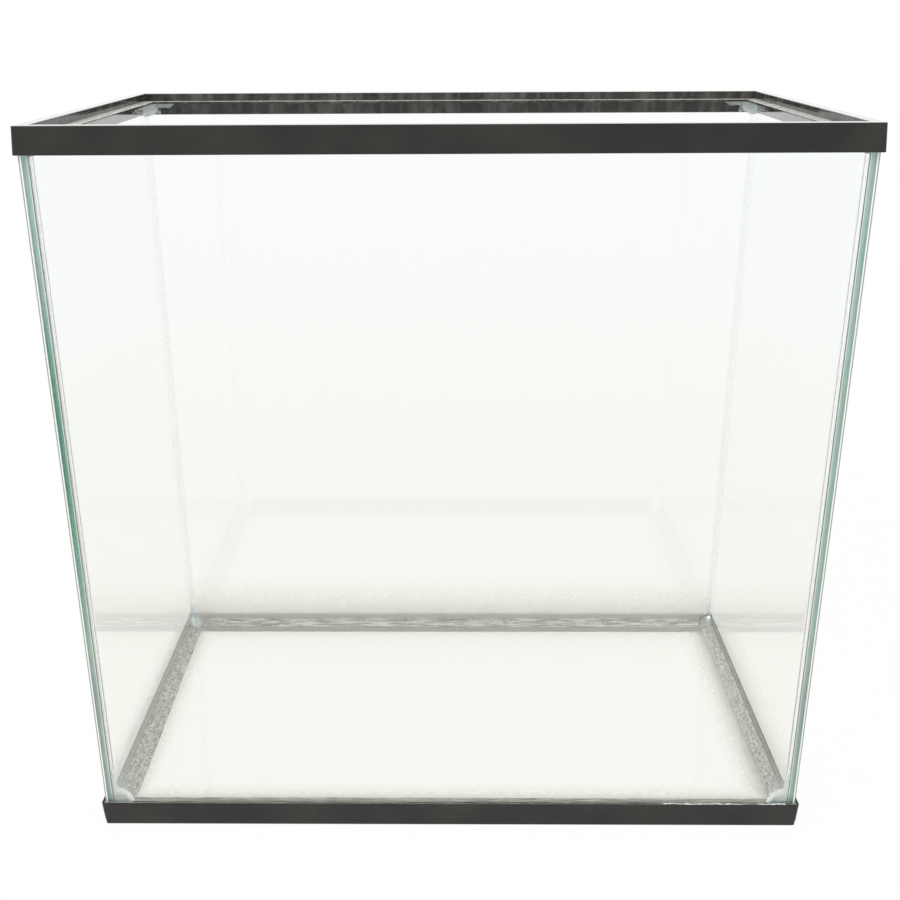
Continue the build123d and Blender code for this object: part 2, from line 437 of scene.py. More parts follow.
        # The floor's film is darker: painted shade.
        film = layered(tree, self.film, (self.on_plane(tree, z, INNER.z), self.floor_film_painted_shade))
        # Less blue towards the bottom.
        height = add_node(tree, "MapRange", inputs={
            "Value": z, "From Min": self.low_face_below_mm * MM, "From Max": self.plain_face_above_mm * MM})
        foot = self.foot(tree)
        color = layered(
            tree, self.low_face, (height, self.face), (film_and_painted_shade, film), (foot, self.haze_color),
            (dull, self.painted_edge_shade), (bright, WHITE))
        edges = add_node(tree, "Math", ADD, {0: dull, 1: bright})
        veiled = add_node(tree, "Math", MAXIMUM, {0: film_and_painted_shade, 1: foot})
        covered = add_node(tree, "Math", MAXIMUM, {0: veiled, 1: edges})
        clear = add_node(tree, "Math", SUBTRACT, {0: 1.0, 1: covered})
        shader = add_node(tree, "BsdfPrincipled", inputs={
            "Base Color": color, "Transmission Weight": clear, "IOR": self.ior,
            "Roughness": self.ground_end(tree)})
        body = add_node(tree, "VolumeAbsorption", inputs={
            "Color": linear(self.tint), "Density": self.tint_density})
        add_node(tree, "OutputMaterial", inputs={"Surface": shader, "Volume": body})
        return material


@dataclass(frozen=True)
class MouldedStyrene:
    """Injection-moulded black polystyrene: a deep black skin that mirrors the studio.

    Pale dried water lies in runs on the faces that look into the tank. On the faces that look up, over the
    lid ledge and thinly on the rim, the same pale is partly dried water and partly a painted highlight. The
    top of the rim is rubbed bright, and the skirt's inner faces are glossy with silicone.
    """

    name: str = "moulded_black_styrene"
    color: str = "#101010"
    scuffed: str = "#25251D"
    scuff_mm: float = 52.0
    scuffs: tuple[float, float] = (0.38, 0.68)
    ior: float = 1.55
    gloss: float = 0.36
    roughness: float = 0.09
    roughness_swing: tuple[float, float] = (0.8, 1.3)
    grain_mm: float = 0.6
    grains: tuple[float, float] = (0.3, 0.7)
    ripple_mm: float = 9.0
    ripple_height_mm: float = 0.012
    coat_ior: float = 2.2
    coat_roughness: float = 0.05
    # The pale: dried water, and on the faces that look up partly a painted highlight.
    scale_and_highlight_color: str = "#E9E7DF"
    scale_patch_mm: float = 4.0
    scale_patches: tuple[float, float] = (0.3, 0.6)
    thinnest_patch: float = 0.6
    scale_roughness: float = 0.3
    # Shares on the ledge and the rim: partly dried water, partly painted highlight.
    ledge_scale_and_highlight: float = 0.9
    rim_scale_and_highlight: float = 0.3
    run_mm: float = 9.0
    run_drawn_out: float = 4.0
    runs: tuple[float, float] = (0.42, 0.68)
    run_shares: tuple[float, float] = (0.02, 0.1)
    ledge_from_mm: float = 560.0
    skirt_mm: float = 589.0
    skirt_half_mm: float = 8.0
    rim_from_mm: float = 601.0
    upward: tuple[float, float] = (0.8, 0.98)
    turned_in: float = -0.05

    def above(self, tree: Tree, level_mm: float) -> Node:
        """Adds a test that is 1 above a level."""
        return add_node(tree, "Math", GREATER_THAN, {0: coordinates(tree)[2], 1: level_mm * MM})

    def facing_up(self, tree: Tree) -> Node:
        """Adds a test that is 1 on faces that look up."""
        facing = add_node(tree, "SeparateXYZ", inputs={0: add_node(tree, "NewGeometry").outputs["Normal"]})
        return add_node(tree, "MapRange", inputs={
            "Value": facing.outputs["Z"], "From Min": self.upward[0], "From Max": self.upward[1]})

    def facing_in(self, tree: Tree) -> Node:
        """Adds a test that is 1 on faces that look into the tank.

        Args:
            tree: The material's node tree.

        Returns:
            A node that gives 0 or 1.
        """
        inwards = add_node(tree, "VectorMath", MULTIPLY, {
            0: add_node(tree, "TexCoord").outputs["Object"], 1: (1, 1, 0)})
        dot = add_node(tree, "VectorMath", {"operation": "DOT_PRODUCT"}, {
            0: inwards, 1: add_node(tree, "NewGeometry").outputs["Normal"]})
        return add_node(tree, "Math", LESS_THAN, {0: dot.outputs["Value"], 1: self.turned_in})

    def scale_and_painted_highlight(self, tree: Tree) -> Node:
        """Adds the share of pale on the plastic: patchy on the faces that look up, partly dried water and
        partly a painted highlight, and dried water in runs on the inner faces.

        Args:
            tree: The material's node tree.

        Returns:
            A node that gives 0 where the plastic is clean and 1 where it is covered.
        """
        place = add_node(tree, "TexCoord").outputs["Object"]
        share = add_node(tree, "MapRange", inputs={
            "Value": self.above(tree, self.rim_from_mm), "To Min": self.ledge_scale_and_highlight,
            "To Max": self.rim_scale_and_highlight})
        patches = add_node(tree, "TexNoise", inputs={
            "Vector": place, "Scale": per_metre(self.scale_patch_mm), "Detail": 4.0})
        patchy = add_node(tree, "MapRange", inputs={
            "Value": patches, "From Min": self.scale_patches[0], "From Max": self.scale_patches[1],
            "To Min": self.thinnest_patch})
        lying_scale_and_highlight = add_node(tree, "Math", MULTIPLY, {0: self.facing_up(tree), 1: share})
        lying_scale_and_highlight = add_node(tree, "Math", MULTIPLY, {0: lying_scale_and_highlight, 1: patchy})
        drawn = add_node(tree, "VectorMath", MULTIPLY, {0: place, 1: (1, 1, 1 / self.run_drawn_out)})
        runs = add_node(tree, "TexNoise", inputs={
            "Vector": drawn, "Scale": per_metre(self.run_mm), "Detail": 3.0})
        run = add_node(tree, "MapRange", inputs={
            "Value": runs, "From Min": self.runs[0], "From Max": self.runs[1],
            "To Min": self.run_shares[0], "To Max": self.run_shares[1]})
        hanging = add_node(tree, "Math", MULTIPLY, {0: self.facing_in(tree), 1: run})
        both = add_node(tree, "Math", MAXIMUM, {0: lying_scale_and_highlight, 1: hanging})
        return add_node(tree, "Math", MULTIPLY, {0: both, 1: self.above(tree, self.ledge_from_mm)})

    def wet_skirt(self, tree: Tree) -> Node:
        """Adds a test for the side faces of the skirt below the lid ledge, which are glossy with silicone.

        Args:
            tree: The material's node tree.

        Returns:
            A node that gives 0 or 1.
        """
        inner = add_node(tree, "Math", MULTIPLY, {0: faces_along(tree, "X"), 1: self.facing_in(tree)})
        band = add_node(tree, "Math", COMPARE, {
            0: coordinates(tree)[2], 1: self.skirt_mm * MM, 2: self.skirt_half_mm * MM})
        return add_node(tree, "Math", MULTIPLY, {0: inner, 1: band})

    def material(self) -> Material:
        """Builds the plastic: near-black, with the faint ripple of a moulded skin in its gloss.

        Returns:
            The material.
        """
        material, tree = new_material(self.name)
        place = add_node(tree, "TexCoord").outputs["Object"]
        # Pale: dried water, and on the faces that look up partly a painted highlight.
        scale = self.scale_and_painted_highlight(tree)
        grain = add_node(tree, "TexNoise", inputs={
            "Vector": place, "Scale": per_metre(self.grain_mm), "Detail": 3.0})
        rough = add_node(tree, "MapRange", inputs={
            "Value": grain, "From Min": self.grains[0], "From Max": self.grains[1],
            "To Min": self.roughness * self.roughness_swing[0],
            "To Max": self.roughness * self.roughness_swing[1]})
        dulled = add_node(tree, "Mix", inputs={0: scale, 2: rough, 3: self.scale_roughness})
        worn = add_node(tree, "TexNoise", inputs={
            "Vector": place, "Scale": per_metre(self.scuff_mm), "Detail": 5.0})
        wear = add_node(tree, "MapRange", inputs={
            "Value": worn, "From Min": self.scuffs[0], "From Max": self.scuffs[1]})
        ripple = add_node(tree, "TexNoise", inputs={
            "Vector": place, "Scale": per_metre(self.ripple_mm), "Detail": 2.0})
        bump = add_node(tree, "Bump", inputs={
            "Strength": 0.6, "Distance": self.ripple_height_mm * MM, "Height": ripple})
        top = add_node(tree, "Math", MULTIPLY, {
            0: self.facing_up(tree), 1: self.above(tree, self.rim_from_mm)})
        rubbed = add_node(tree, "Math", MAXIMUM, {0: top, 1: self.wet_skirt(tree)})
        shader = add_node(tree, "BsdfPrincipled", inputs={
            "Base Color": layered(tree, self.color, (wear, self.scuffed), (scale, self.scale_and_highlight_color)),
            "Roughness": dulled, "IOR": self.ior, "Specular IOR Level": self.gloss, "Normal": bump,
            "Coat Weight": rubbed, "Coat IOR": self.coat_ior, "Coat Roughness": self.coat_roughness})
        add_node(tree, "OutputMaterial", inputs={"Surface": shader})
        return material


@dataclass(frozen=True)
class AcetoxySilicone:
    """Clear acetoxy aquarium silicone, tooled by hand: cloudy, soft in its gloss and a little lumpy.

    It has taken up fine bubbles and dirt, so it is speckled, and pale even where black lies behind it.
    """

    name: str = "tooled_silicone"
    pale: str = "#E6E6E0"
    dirty: str = "#8A8A84"
    roughness: float = 0.35
    clarity: float = 0.3
    speck_mm: float = 2.2
    streak_mm: float = 1.6
    speck_share: float = 0.3
    marks: tuple[float, float] = (0.41, 0.59)
    drawn_out: float = 14.0
    lump_mm: float = 4.0
    lump_height_mm: float = 0.35

    def material(self, axis: int) -> Material:
        """Builds the silicone: a cloudy dielectric with specks, and tool marks drawn along the bead.

        Args:
            axis: The axis that the bead runs along, 0 or 1 for X or Y.

        Returns:
            The material.
        """
        material, tree = new_material(f"{self.name}_{'xy'[axis]}")
        place = add_node(tree, "TexCoord").outputs["Object"]
        stretch = Vector((1, 1, 1))
        stretch[axis] = 1 / self.drawn_out
        drawn = add_node(tree, "VectorMath", MULTIPLY, {0: place, 1: stretch})
        streaks = add_node(tree, "TexNoise", inputs={
            "Vector": drawn, "Scale": per_metre(self.streak_mm), "Detail": 3.0, "Roughness": 0.6})
        specks = add_node(tree, "TexNoise", inputs={
            "Vector": place, "Scale": per_metre(self.speck_mm), "Detail": 3.0, "Roughness": 0.7})
        mixed = add_node(tree, "Mix", inputs={0: self.speck_share, 2: streaks, 3: specks})
        clean = add_node(tree, "MapRange", inputs={
            "Value": mixed, "From Min": self.marks[0], "From Max": self.marks[1]})
        lumps = add_node(tree, "TexNoise", inputs={
            "Vector": drawn, "Scale": per_metre(self.lump_mm), "Detail": 3.0})
        bump = add_node(tree, "Bump", inputs={
            "Strength": 0.5, "Distance": self.lump_height_mm * MM, "Height": lumps})
        shader = add_node(tree, "BsdfPrincipled", inputs={
            "Base Color": layered(tree, self.dirty, (clean, self.pale)), "Roughness": self.roughness,
            "IOR": SILICONE_IOR, "Transmission Weight": self.clarity, "Normal": bump})
        add_node(tree, "OutputMaterial", inputs={"Surface": shader})
        return material


@dataclass(frozen=True)
class WipedSilicone:
    """Silicone wiped smooth up a corner: almost as clear as glass, and milky where it pools at the foot."""

    name: str = "wiped_silicone"
    color: str = "#FBFBFC"
    milk: str = "#F8FEFF"
    roughness: float = 0.06
    milky_below_mm: float = 30.0
    clear_above_mm: float = 64.0
    foot_clarity: float = 0.15
    clarity: float = 0.97

    def material(self) -> Material:
        """Builds the silicone: a clear dielectric that turns milky towards the floor.

        Returns:
            The material.
        """
        material, tree = new_material(self.name)
        height = add_node(tree, "MapRange", SMOOTH, {
            "Value": coordinates(tree)[2], "From Min": self.milky_below_mm * MM,
            "From Max": self.clear_above_mm * MM})
        clear = add_node(tree, "MapRange", inputs={
            "Value": height, "To Min": self.foot_clarity, "To Max": self.clarity})
        shader = add_node(tree, "BsdfPrincipled", inputs={
            "Base Color": layered(tree, self.milk, (height, self.color)), "Roughness": self.roughness,
            "IOR": SILICONE_IOR, "Transmission Weight": clear})
        add_node(tree, "OutputMaterial", inputs={"Surface": shader})
        return material


@dataclass(frozen=True)
class PooledSilicone:
    """Silicone left in a thick lump: pale grey-green in its depth, with wet highlights on its skin."""

    name: str = "pooled_silicone"
    color: str = "#E6EDEC"
    roughness: float = 0.07
    clarity: float = 0.55
    lump_mm: float = 6.0
    lump_height_mm: float = 3.0

    def material(self) -> Material:
        """Builds the silicone: a milky dielectric with a smooth, lumpy skin.

        Returns:
            The material.
        """
        material, tree = new_material(self.name)
        lumps = add_node(tree, "TexNoise", inputs={
            "Vector": add_node(tree, "TexCoord").outputs["Object"], "Scale": per_metre(self.lump_mm),
            "Detail": 2.0})
        bump = add_node(tree, "Bump", inputs={
            "Strength": 0.7, "Distance": self.lump_height_mm * MM, "Height": lumps})
        shader = add_node(tree, "BsdfPrincipled", inputs={
            "Base Color": linear(self.color), "Roughness": self.roughness, "IOR": SILICONE_IOR,
            "Transmission Weight": self.clarity, "Normal": bump})
        add_node(tree, "OutputMaterial", inputs={"Surface": shader})
        return material


@dataclass(frozen=True)
class BondedSilicone:
    """Silicone squeezed thin between pane ends, with a painted dark line and a painted highlight line at
    its inner edge.

    Seen through the front pane it is clear where the pane ends are green, and elsewhere painted paler and
    cloudier where other light washes the green out.
    """

    name: str = "bonded_silicone"
    color: str = "#C3E8DF"
    # Painted paler and cloudier where other light washes out the green of the ends.
    painted_wash_out: str = "#F6FDFC"
    milk: str = "#B6DCD1"
    painted_wash_share: float = 0.43
    streak_mm: float = 1.1
    streaks: tuple[float, float] = (0.35, 0.65)
    streak_swing: float = 0.35
    drawn_out: float = 60.0
    # A painted dark line and a painted highlight line at the bond's inner edge.
    dull: str = "#33463F"
    dull_mm: float = 0.9
    dull_share: float = 0.85
    bright_mm: float = 0.6
    painted_highlight_share: float = 0.8
    roughness: float = 0.04
    ends: WashedEnds = WashedEnds()

    def line(self, tree: Tree, front: Node, low_mm: float, high_mm: float, share: float) -> Node:
        """Adds an upright line in the bonds behind the front pane, for the painted dark line and highlight
        line.

        Args:
            tree: The material's node tree.
            front: The node that gives 1 in the front half of the tank.
            low_mm: Where the line starts, from the side walls' inner faces outwards.
            high_mm: Where the line ends.
            share: How strong it is.

        Returns:
            A node that gives 0 or the share.
        """
        across = add_node(tree, "Math", ABSOLUTE, {0: coordinates(tree)[0]})
        gap = add_node(tree, "Math", SUBTRACT, {0: across, 1: INNER.x})
        inside = add_node(tree, "Math", COMPARE, {
            0: gap, 1: (low_mm + high_mm) / 2 * MM, 2: (high_mm - low_mm) / 2 * MM})
        line = add_node(tree, "Math", MULTIPLY, {0: inside, 1: front})
        return add_node(tree, "Math", MULTIPLY, {0: line, 1: share})

    def material(self) -> Material:
        """Builds the bond: a clear dielectric with faint streaks, a painted dark line and a painted
        highlight line, and painted paleness where other light washes out the green.

        Returns:
            The material.
        """
        material, tree = new_material(self.name)
        front = add_node(tree, "Math", LESS_THAN, {0: coordinates(tree)[1], 1: 0.0})
        # The painted dark line and the painted highlight line.
        dull = self.line(tree, front, 0.0, self.dull_mm, self.dull_share)
        bright = self.line(tree, front, self.dull_mm, self.dull_mm + self.bright_mm, self.painted_highlight_share)
        drawn = add_node(tree, "VectorMath", MULTIPLY, {
            0: add_node(tree, "TexCoord").outputs["Object"], 1: (1, 1, 1 / self.drawn_out)})
        streaks = add_node(tree, "TexNoise", inputs={
            "Vector": drawn, "Scale": per_metre(self.streak_mm), "Detail": 2.0})
        swing = add_node(tree, "MapRange", inputs={
            "Value": streaks, "From Min": self.streaks[0], "From Max": self.streaks[1],
            "To Min": -self.streak_swing, "To Max": self.streak_swing})
        # Painted light: paler and cloudier where other light washes out the green of the ends.
        ends = self.ends.share(tree)
        pale = add_node(tree, "Math", {"operation": "ADD", "use_clamp": True}, {0: ends, 1: swing})
        milky = add_node(tree, "Math", MULTIPLY, {0: ends, 1: self.painted_wash_share / self.ends.most})
        milk = add_node(tree, "Math", MULTIPLY, {0: milky, 1: front})
        color = layered(
            tree, self.color, (pale, self.painted_wash_out), (milk, self.milk), (dull, self.dull), (bright, WHITE))
        lines = add_node(tree, "Math", ADD, {0: dull, 1: bright})
        cloudy = add_node(tree, "Math", MAXIMUM, {0: lines, 1: milk})
        clear = add_node(tree, "Math", SUBTRACT, {0: 1.0, 1: cloudy})
        shader = add_node(tree, "BsdfPrincipled", inputs={
            "Base Color": color, "Roughness": self.roughness, "IOR": SILICONE_IOR,
            "Transmission Weight": clear})
        add_node(tree, "OutputMaterial", inputs={"Surface": shader})
        return material


@dataclass(frozen=True)
class PaperSweep:
    """White studio paper: it shows as plain white and keeps the tank's soft shadow."""

    name: str = "paper_sweep"
    color: str = "#F4F4F2"
    glow: float = 0.95
    shadow_radius_m: float = 0.5
    clear_radius_m: float = 1.6

    def material(self) -> Material:
        """Builds the paper: white to the eye and in glass, plain diffuse paper for light that bounces.

        Returns:
            The material.
        """
        material, tree = new_material(self.name)
        away = add_node(tree, "VectorMath", {"operation": "LENGTH"}, {
            0: add_node(tree, "TexCoord").outputs["Object"]})
        far = add_node(tree, "MapRange", SMOOTH, {
            "Value": away.outputs["Value"], "From Min": self.shadow_radius_m,
            "From Max": self.clear_radius_m, "To Min": self.glow, "To Max": 1.0})
        share = add_node(tree, "Math", MULTIPLY, {0: rays_that_show_white(tree), 1: far})
        paper = add_node(tree, "BsdfDiffuse", inputs={"Color": linear(self.color)})
        white = add_node(tree, "Emission", inputs={"Color": linear(WHITE), "Strength": 1.0})
        mix = add_node(tree, "MixShader", inputs={0: share, 1: paper, 2: white})
        add_node(tree, "OutputMaterial", inputs={"Surface": mix})
        return material


def rays_that_show_white(tree: Tree) -> Node:
    """Adds a test for the rays that show the white studio: seen directly, mirrored or through glass.

    Args:
        tree: The node tree of the floor or the world.

    Returns:
        A node that gives 1 for those rays and 0 for light that bounces off matt surfaces.
    """
    path = add_node(tree, "LightPath").outputs
    mirrored = add_node(tree, "Math", MAXIMUM, {0: path["Is Glossy Ray"], 1: path["Is Transmission Ray"]})
    return add_node(tree, "Math", MAXIMUM, {0: path["Is Camera Ray"], 1: mirrored})


def dress(node: str, material: Material) -> None:
    """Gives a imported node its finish.

    Args:
        node: The node's name.
        material: The finish.
    """
    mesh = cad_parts[node].data
    mesh.materials.clear()
    mesh.materials.append(material)
    log.info("dressed %s in %s", node, material.name)


def merged_copy(node: str) -> bmesh.types.BMesh:
    """Copies a node's mesh with its loose triangles joined.

    Args:
        node: The node's name.

    Returns:
        The copy, as a closed mesh.
    """
    mesh = bmesh.new()
    mesh.from_mesh(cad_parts[node].data)
    bmesh.ops.remove_doubles(mesh, verts=mesh.verts[:], dist=WELD_MM * MM)
    bmesh.ops.dissolve_limit(
        mesh, angle_limit=math.radians(FLAT_DEGREES), verts=mesh.verts[:], edges=mesh.edges[:])
    return mesh


def cut_into_slices(mesh: bmesh.types.BMesh, axis: int, low: float, high: float, step: float) -> None:
    """Cuts a mesh across an axis at even steps, so that it can be bent between them.

    Args:
        mesh: The mesh to cut.
        axis: 0, 1 or 2 for X, Y or Z.
        low: Where the cuts start, in metres.
        high: Where the cuts end, in metres.
        step: The distance between cuts, in metres.
    """
    normal = Vector((0, 0, 0))
    normal[axis] = 1
    for cut in range(1, math.ceil((high - low) / step)):
        bmesh.ops.bisect_plane(
            mesh, geom=mesh.verts[:] + mesh.edges[:] + mesh.faces[:], dist=CUT_MM * MM,
            plane_co=normal * (low + cut * step), plane_no=normal)


def finish_piece(mesh: bmesh.types.BMesh, name: str, material: Material, *nodes: str) -> None:
    """Turns a finished mesh into a piece of silicone on the tank.

    Args:
        mesh: The mesh, in place and in metres. It is freed.
        name: The piece's name.
        material: Its finish.
        nodes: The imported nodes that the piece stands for.
    """
    for face in mesh.faces:
        face.smooth = True
    for edge in mesh.edges:
        edge.smooth = edge.calc_face_angle(0.0) < math.radians(CRISP_DEGREES)
    data = bpy.data.meshes.new(name)
    mesh.to_mesh(data)
    mesh.free()
    data.materials.append(material)
    piece = bpy.data.objects.new(name, data)
    bpy.context.scene.collection.objects.link(piece)
    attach(piece, "root")
    if nodes:
        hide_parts(*nodes)
    log.info("made %s, %d faces", name, len(data.polygons))


@dataclass
class GlassBox:
    """The five bonded panes."""

    panes: tuple[str, ...] = ("front_pane", "back_pane", "left_pane", "right_pane", "bottom_pane")
    glass: FloatGlass = field(default_factory=FloatGlass)

    def build(self) -> None:
        """Dresses the panes in float glass."""
        material = self.glass.material()
        for pane in self.panes:
            dress(pane, material)


@dataclass
class FrameMouldings:
    """The moulded frames round the rim and the base."""

    mouldings: tuple[str, ...] = ("top_frame", "bottom_frame")
    plastic: MouldedStyrene = field(default_factory=MouldedStyrene)

    def build(self) -> None:
        """Dresses both mouldings."""
        material = self.plastic.material()
        for moulding in self.mouldings:
            dress(moulding, material)


@dataclass(frozen=True)
class HandTooling:
    """How far a hand-drawn bead strays: slowly along its length, and in a fine ripple.

    The bead is also widened inwards from a side wall, by one factor at the back and one at the front.
    """

    wander_mm: float = 0.45
    ripple_mm: float = 0.16
    wander_length_mm: float = 14.0
    ripple_length_mm: float = 3.5
    slice_mm: float = 3.0
    widened: tuple[float, float] = (1.0, 1.0)

    def stray(self, place: Vector) -> Vector:
        """Gives the way that the bead's skin strays at a place, in metres.

        Args:
            place: The place, in metres.

        Returns:
            The move.
        """
        slow = noise.noise_vector(place * per_metre(self.wander_length_mm)) * self.wander_mm
        fine = noise.noise_vector(place * per_metre(self.ripple_length_mm)) * self.ripple_mm
        return (slow + fine) * MM


@dataclass(frozen=True)
class SqueezedThread:
    """A thin white thread of bedding silicone that was squeezed out over the front lip."""

    name: str
    from_mm: float
    to_mm: float
    rise_mm: float
    thick_mm: float = 1.7
    inset_mm: float = 1.4
    slice_mm: float = 0.8
    sides: int = 6
    wave_length_mm: float = 7.0
    knot_length_mm: float = 2.2
    noise_rows: tuple[float, float] = (4.0, 1.0)
    thinnest: float = 0.12
    swelling: float = 2.2
    sideways_mm: float = 0.3
    knot_lift: float = 0.5

    def lay(self, material: Material) -> None:
        """Lays the thread on the lip, wavy and knotted along its length.

        Args:
            material: Its finish.
        """
        low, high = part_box("bottom_frame")
        lip = high.z
        middle = Vector((
            (self.from_mm + self.to_mm) / 2 * MM, low.y + self.inset_mm * MM, lip + self.rise_mm * MM))
        radius = self.thick_mm / 2 * MM
        mesh = bmesh.new()
        bmesh.ops.create_cone(
            mesh, cap_ends=True, segments=self.sides, radius1=radius, radius2=radius,
            depth=(self.to_mm - self.from_mm) * MM,
            matrix=Matrix.Translation(middle) @ Matrix.Rotation(math.pi / 2, 4, "Y"))
        cut_into_slices(mesh, 0, self.from_mm * MM, self.to_mm * MM, self.slice_mm * MM)
        for vertex in mesh.verts:
            along = vertex.co.x
            wave, knot = (
                noise.noise_vector(Vector((along * per_metre(length), self.rise_mm, row)))
                for length, row in zip((self.wave_length_mm, self.knot_length_mm), self.noise_rows))
            thick = min(1.0, self.thinnest + abs(knot.y) * self.swelling)
            vertex.co.y = middle.y + (vertex.co.y - middle.y) * thick + self.sideways_mm * wave.y * MM
            lift = (wave.z + self.knot_lift * knot.z) * MM
            vertex.co.z = max(lip, middle.z + (vertex.co.z - middle.z) * thick + lift)
        finish_piece(mesh, self.name, material)


@dataclass
class SiliconeWork:
    """All the silicone: beads in the inner corners, lumps under the lid ledge, bonds and bedding."""

    skin_gap_mm: float = 0.03
    plain_tooling: HandTooling = HandTooling()
    dragged_tooling: HandTooling = HandTooling(widened=(1.5, 2.0))
    pressed_tooling: HandTooling = HandTooling(widened=(1.35, 1.25))
    streaky: AcetoxySilicone = AcetoxySilicone()
    specked: AcetoxySilicone = AcetoxySilicone(name="specked_silicone", speck_share=0.7, drawn_out=6.0)
    # The front bead's finish: a darker copy of the tooled silicone, as painted shade.
    painted_shade_front: AcetoxySilicone = AcetoxySilicone(name="painted_shade_silicone", pale="#C9CAC2", dirty="#6E706A")
    wiped: WipedSilicone = WipedSilicone()
    thin: WipedSilicone = WipedSilicone(name="thin_wiped_silicone", foot_clarity=0.75)
    thinnest: WipedSilicone = WipedSilicone(name="thinnest_wiped_silicone", foot_clarity=0.93)
    pooled: PooledSilicone = PooledSilicone()
    bond: BondedSilicone = BondedSilicone()
    squeezed: PooledSilicone = PooledSilicone(
        name="squeezed_silicone", color=WHITE, roughness=0.25, clarity=0.05, lump_height_mm=0.3)
    threads: tuple[SqueezedThread, ...] = (
        SqueezedThread("squeezed_thread_long", from_mm=188.0, to_mm=262.0, rise_mm=0.5),
        SqueezedThread("squeezed_thread_short", from_mm=272.0, to_mm=296.0, rise_mm=0.3))
    ledge_z: float = field(init=False)

    def __post_init__(self) -> None:
        """Reads the height of the lid ledge from the frame."""
        self.ledge_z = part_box("corner_fill_front_left")[1].z

    def on_wall(self, place: Vector) -> list[bool]:
        """Tells which of a point's coordinates lies on glass or on the lid ledge.

        Args:
            place: The point, in metres.

        Returns:
            For X, Y and Z, whether the point lies on a surface across that axis.
        """
        near = ON_WALL_MM * MM
        return [
            abs(abs(place.x) - INNER.x) < near,
            abs(abs(place.y) - INNER.y) < near,
            abs(place.z - INNER.z) < near or abs(place.z - self.ledge_z) < near,
        ]

    def tool_by_hand(self, mesh: bmesh.types.BMesh, tooling: HandTooling) -> None:
        """Makes a bead's free face and toes stray, and lifts it a hair off the glass.

        Args:
            mesh: The bead, in metres.
            tooling: How far it strays.
        """
        gap = self.skin_gap_mm * MM
        middle = Vector((0, 0, (INNER.z + self.ledge_z) / 2))
        lows = (-INNER.x + gap, -INNER.y + gap, INNER.z + gap)
        highs = (INNER.x - gap, INNER.y - gap, self.ledge_z - gap)
        at_back, at_front = tooling.widened
        for vertex in mesh.verts:
            held = self.on_wall(vertex.co)
            move = tooling.stray(vertex.co)
            forward = (INNER.y - vertex.co.y) / (2 * INNER.y)
            wider = at_back + (at_front - at_back) * forward
            move.x += (INNER.x - abs(vertex.co.x)) * (wider - 1) * (-1 if vertex.co.x > 0 else 1)
            for axis in range(3):
                if held[axis]:
                    move[axis] = math.copysign(gap, middle[axis] - vertex.co[axis])
            if sum(held) < 3:
                vertex.co += move
            for axis in range(3):
                vertex.co[axis] = max(lows[axis], min(highs[axis], vertex.co[axis]))

    def bead(self, node: str, axis: int, material: Material, tooling: HandTooling) -> None:
        """Makes one tooled bead from its node, cut along its length and worked by hand.

        Args:
            node: The bead's node.
            axis: The axis that the bead runs along.
            material: Its finish.
            tooling: How far it strays.
        """
        mesh = merged_copy(node)
        low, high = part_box(node)
        cut_into_slices(mesh, axis, low[axis], high[axis], tooling.slice_mm * MM)
        bmesh.ops.triangulate(mesh, faces=mesh.faces[:])
        self.tool_by_hand(mesh, tooling)
        finish_piece(mesh, f"{node}_tooled", material, node)

    def shrunk(self, node: str, material: Material) -> None:
        """Makes a piece from its node, a hair smaller so that it doesn't share faces with glass.

        Args:
            node: The node of an upright bead, a bond or a bedding.
            material: Its finish.
        """
        mesh = merged_copy(node)
        mesh.normal_update()
        for vertex in mesh.verts:
            vertex.co -= vertex.normal * vertex.calc_shell_factor() * self.skin_gap_mm * MM
        finish_piece(mesh, f"{node}_cured", material, node)

    def build(self) -> None:
        """Makes every piece of silicone."""
        streaky, specked, bonded = self.streaky.material(0), self.specked.material(1), self.bond.material()
        beads = {
            # The front bead takes the darker copy: painted shade.
            Wall.FRONT: (0, self.painted_shade_front.material(0), self.plain_tooling),
            Wall.BACK: (0, streaky, self.plain_tooling),
            Wall.LEFT: (1, specked, self.dragged_tooling),
            Wall.RIGHT: (1, specked, self.pressed_tooling)}
        for wall, (axis, finish, tooling) in beads.items():
            self.bead(f"floor_seal_{wall.value}", axis, finish, tooling)
            self.shrunk(f"floor_joint_{wall.value}", bonded)
        front, pooled = self.wiped.material(), self.pooled.material()
        uprights = {
            Corner.FRONT_LEFT: front, Corner.FRONT_RIGHT: front,
            Corner.BACK_LEFT: self.thin.material(), Corner.BACK_RIGHT: self.thinnest.material()}
        for corner, finish in uprights.items():
            self.shrunk(f"seal_{corner.value}", finish)
            self.bead(f"corner_fill_{corner.value}", 2, pooled, self.plain_tooling)
            self.shrunk(f"joint_{corner.value}", bonded)
        for bedding in ("top_bedding", "bottom_bedding", "floor_bedding"):
            self.shrunk(bedding, streaky)
        squeezed = self.squeezed.material()
        for thread in self.threads:
            thread.lay(squeezed)


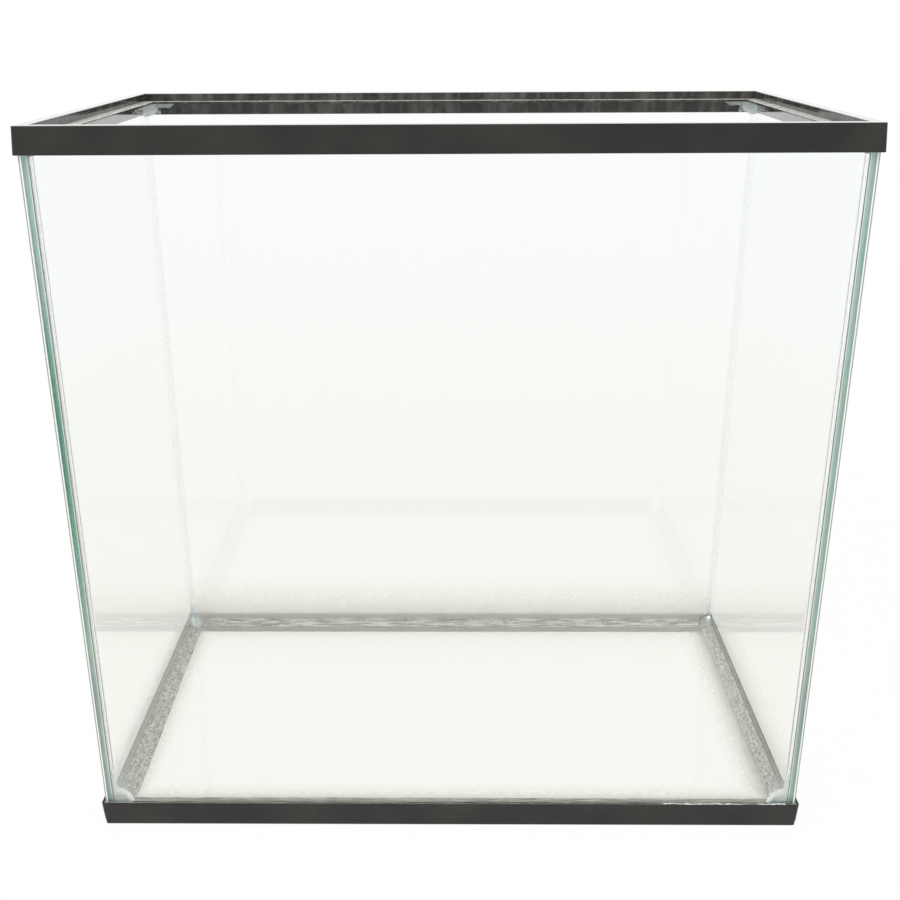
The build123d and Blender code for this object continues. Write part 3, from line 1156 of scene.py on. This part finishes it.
@dataclass
class Studio:
    """A white paper sweep under a large soft box, with white all round."""

    floor_size_m: float = 30.0
    fill_light: float = 0.8
    key_size_m: float = 1.8
    key_watts: float = 25.0
    key_place: tuple[float, float, float] = (-0.5, -1.0, 2.5)
    paper: PaperSweep = field(default_factory=PaperSweep)

    def build(self) -> None:
        """Builds the floor, the lamps and the white surroundings."""
        self.build_floor()
        self.build_surroundings()
        self.build_key()

    def build_floor(self) -> None:
        """Lays the paper."""
        mesh = bmesh.new()
        bmesh.ops.create_grid(mesh, x_segments=1, y_segments=1, size=self.floor_size_m / 2)
        data = bpy.data.meshes.new("paper")
        mesh.to_mesh(data)
        mesh.free()
        data.materials.append(self.paper.material())
        floor = bpy.data.objects.new("paper", data)
        bpy.context.scene.collection.objects.link(floor)
        log.info("laid the paper")

    def build_surroundings(self) -> None:
        """Makes the world white to the eye and in glass, and a plain fill light for the rest."""
        world = bpy.data.worlds.new("white_studio")
        bpy.context.scene.world = world
        world.use_nodes = True
        tree = world.node_tree
        tree.nodes.clear()
        strength = add_node(tree, "MapRange", inputs={
            "Value": rays_that_show_white(tree), "To Min": self.fill_light, "To Max": 1.0})
        white = add_node(tree, "Background", inputs={"Color": linear(WHITE), "Strength": strength})
        add_node(tree, "OutputWorld", inputs={"Surface": white})
        log.info("set the white surroundings")

    def build_key(self) -> None:
        """Hangs the soft box above and in front of the tank."""
        lamp = bpy.data.lights.new("soft_box", "AREA")
        lamp.shape = "SQUARE"
        lamp.size = self.key_size_m
        lamp.energy = self.key_watts
        soft_box = bpy.data.objects.new("soft_box", lamp)
        bpy.context.scene.collection.objects.link(soft_box)
        target = Vector((0, 0, CAD_HIGH.z / 2))
        soft_box.location = self.key_place
        soft_box.rotation_euler = (target - soft_box.location).to_track_quat("-Z", "Y").to_euler()
        log.info("hung the soft box")


@dataclass
class PhotoCamera:
    """The photograph's camera, as fitted to the corners of the frames and the glass."""

    place_mm: tuple[float, float, float] = (4.3, -970.6, 678.4)
    yaw: float = 0.68
    pitch: float = -20.76
    roll: float = 0.30
    focal_px: float = 1110.4
    centre_px: tuple[float, float] = (441.4, 432.8)
    image_px: float = 900.0
    sensor_mm: float = 36.0

    def build(self) -> None:
        """Sets up the camera and makes it the scene's."""
        data = bpy.data.cameras.new("photo_camera")
        data.sensor_fit = "HORIZONTAL"
        data.sensor_width = self.sensor_mm
        data.lens = self.focal_px * self.sensor_mm / self.image_px
        data.shift_x = (self.image_px / 2 - self.centre_px[0]) / self.image_px
        data.shift_y = (self.centre_px[1] - self.image_px / 2) / self.image_px
        camera = bpy.data.objects.new("photo_camera", data)
        bpy.context.scene.collection.objects.link(camera)
        turn = (Matrix.Rotation(math.radians(self.yaw), 4, "Z")
                @ Matrix.Rotation(math.radians(self.pitch), 4, "X")
                @ Matrix.Rotation(math.radians(self.roll), 4, "Y"))
        upright = Euler((math.pi / 2, 0, 0)).to_matrix().to_4x4()
        camera.matrix_world = Matrix.Translation(Vector(self.place_mm) * MM) @ turn @ upright
        bpy.context.scene.camera = camera
        log.info("set the camera")


def set_rendering() -> None:
    """Sets the plain view transform and enough bounces for light that runs along inside a pane.

    The filter that blurs glass after a matt bounce is off, because it would keep light out of the tank.
    """
    scene = bpy.context.scene
    scene.view_settings.view_transform = "Standard"
    scene.cycles.max_bounces = MOST_BOUNCES
    scene.cycles.transmission_bounces = GLASS_BOUNCES
    scene.cycles.glossy_bounces = GLASS_BOUNCES
    scene.cycles.transparent_max_bounces = CLEAR_BOUNCES
    scene.cycles.blur_glossy = 0.0


def main() -> None:
    """Builds the tank, the studio and the camera in order."""
    logging.basicConfig(level=logging.INFO, format="%(name)s: %(message)s")
    set_rendering()
    PhotoCamera().build()
    Studio().build()
    GlassBox().build()
    FrameMouldings().build()
    SiliconeWork().build()


if __name__ == "__main__":
    main()
